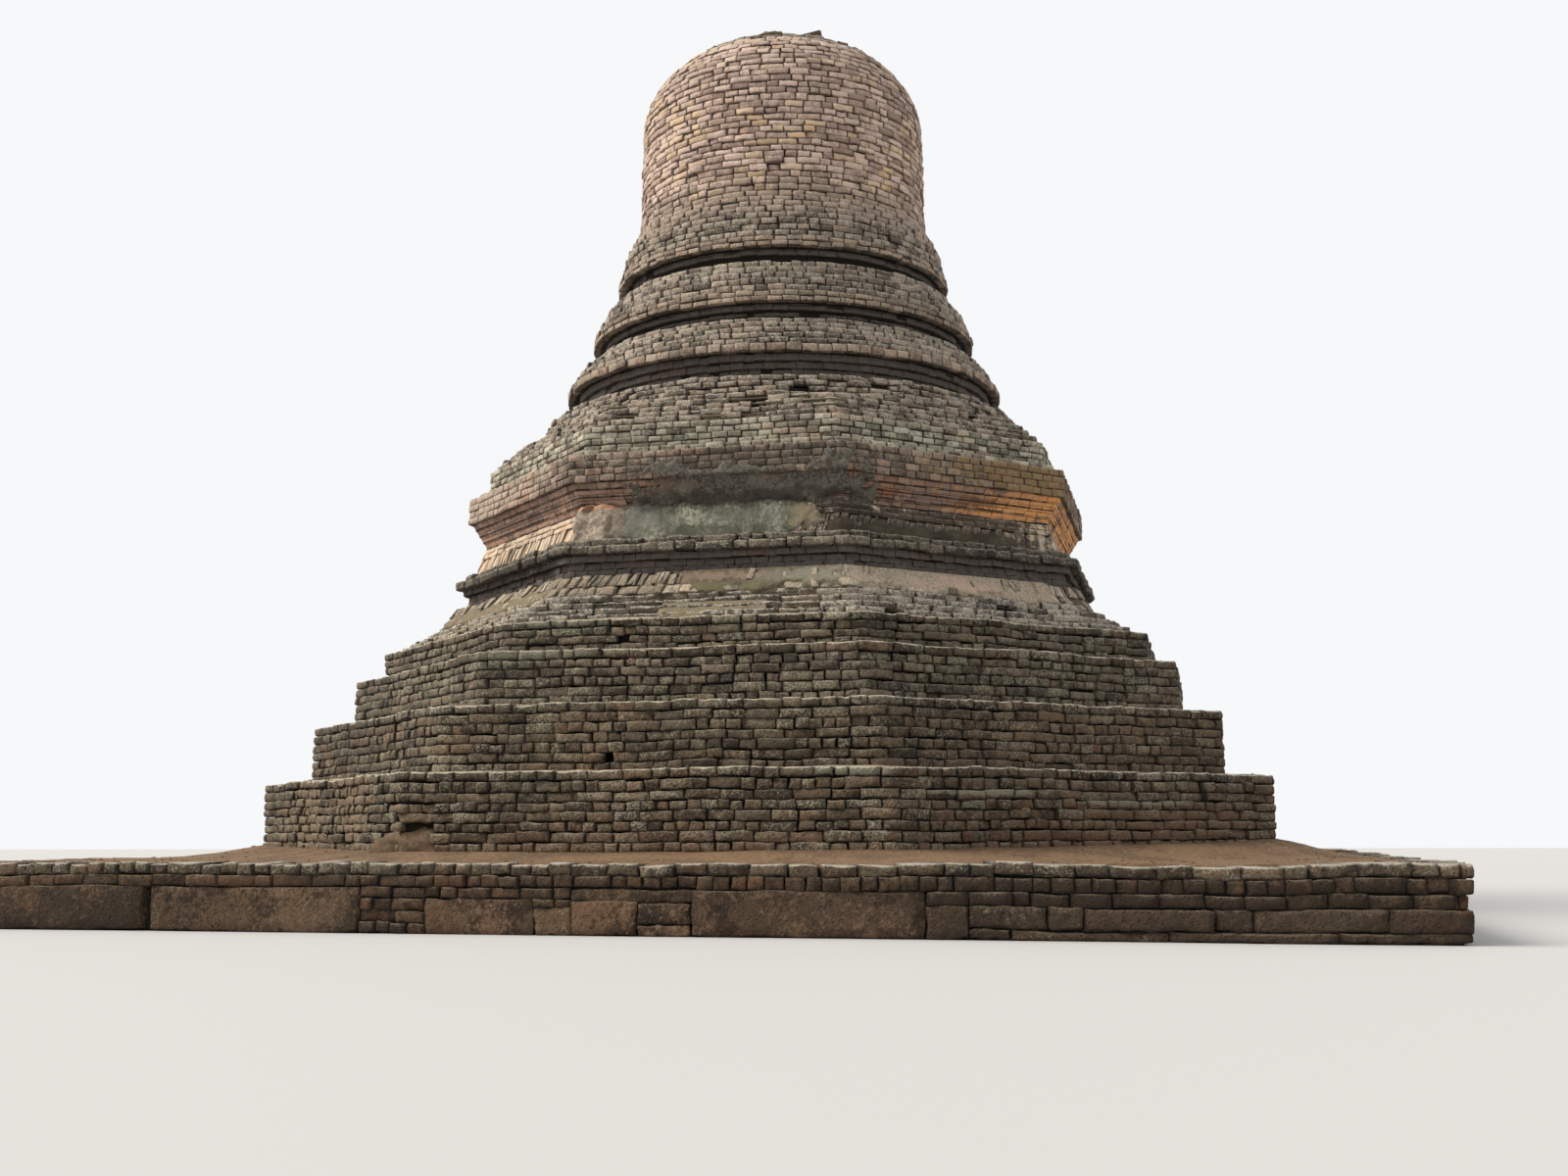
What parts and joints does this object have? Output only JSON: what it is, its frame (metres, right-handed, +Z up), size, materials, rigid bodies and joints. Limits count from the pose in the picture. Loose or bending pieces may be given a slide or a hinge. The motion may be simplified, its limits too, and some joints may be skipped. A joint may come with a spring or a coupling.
{
  "type": "ruined octagonal bell-shaped stupa",
  "caption": "Ruined bell-shaped stupa of laterite and brick on eight-sided terraces and a low square platform, with ring mouldings under a broken bell.",
  "frame": {"origin": "on the ground under the centre of the stupa, where the platform stands", "axes": "+Z up along the stupa's axis; -Y is the front, square to the octagon's front face and to the platform's front wall; +X is to the right seen from the front"},
  "size_m": [26, 26, 20.2],
  "materials": {
    "laterite": "pitted laterite blocks, weathered dark with lichen",
    "dark_laterite": "soot-dark laterite in the shade of the mouldings",
    "brick": "worn red brick and laterite, orange on the undersides",
    "bell_brick": "pale worn brick with open joints",
    "plaster": "old lime plaster, mossy and broken at its edges",
    "earth": "dry trodden earth with small stones"
  },
  "bodies": {
    "root": {"platform_wall_front": "laterite", "platform_wall_back": "laterite", "platform_wall_left": "laterite", "platform_wall_right": "laterite", "platform_coping_front": "laterite", "platform_coping_back": "laterite", "platform_coping_left": "laterite", "platform_coping_right": "laterite", "platform_fill": "earth", "terrace_1_wall": "laterite", "terrace_1_cap": "laterite", "terrace_2_wall": "laterite", "terrace_2_cap": "laterite", "terrace_3_wall": "laterite", "terrace_3_cap": "laterite", "terrace_4_wall": "laterite", "terrace_4_cap": "laterite", "slope_courses_lower": "laterite", "slope_courses_upper": "laterite", "lower_lotus_band": "laterite", "recess_wall": "dark_laterite", "moulding_lip": "dark_laterite", "moulding_cover": "laterite", "neck": "brick", "neck_plaster_panel": "plaster", "neck_plaster_corner": "plaster", "lotus_plaster_front": "plaster", "lotus_plaster_right": "plaster", "cornice_corbels": "brick", "cornice_face": "brick", "upper_step": "laterite", "octagon_courses": "laterite", "sixteen_side_courses": "laterite", "round_courses": "laterite", "lower_ring_undercut": "dark_laterite", "lower_ring_lip": "laterite", "lower_ring_slope": "laterite", "middle_ring_undercut": "dark_laterite", "middle_ring_lip": "laterite", "middle_ring_slope": "laterite", "upper_ring_undercut": "dark_laterite", "upper_ring_lip": "laterite", "upper_ring_slope": "laterite", "bell_drum": "bell_brick", "bell_shoulder": "bell_brick", "bell_crown": "bell_brick"}
  },
  "joints": []
}
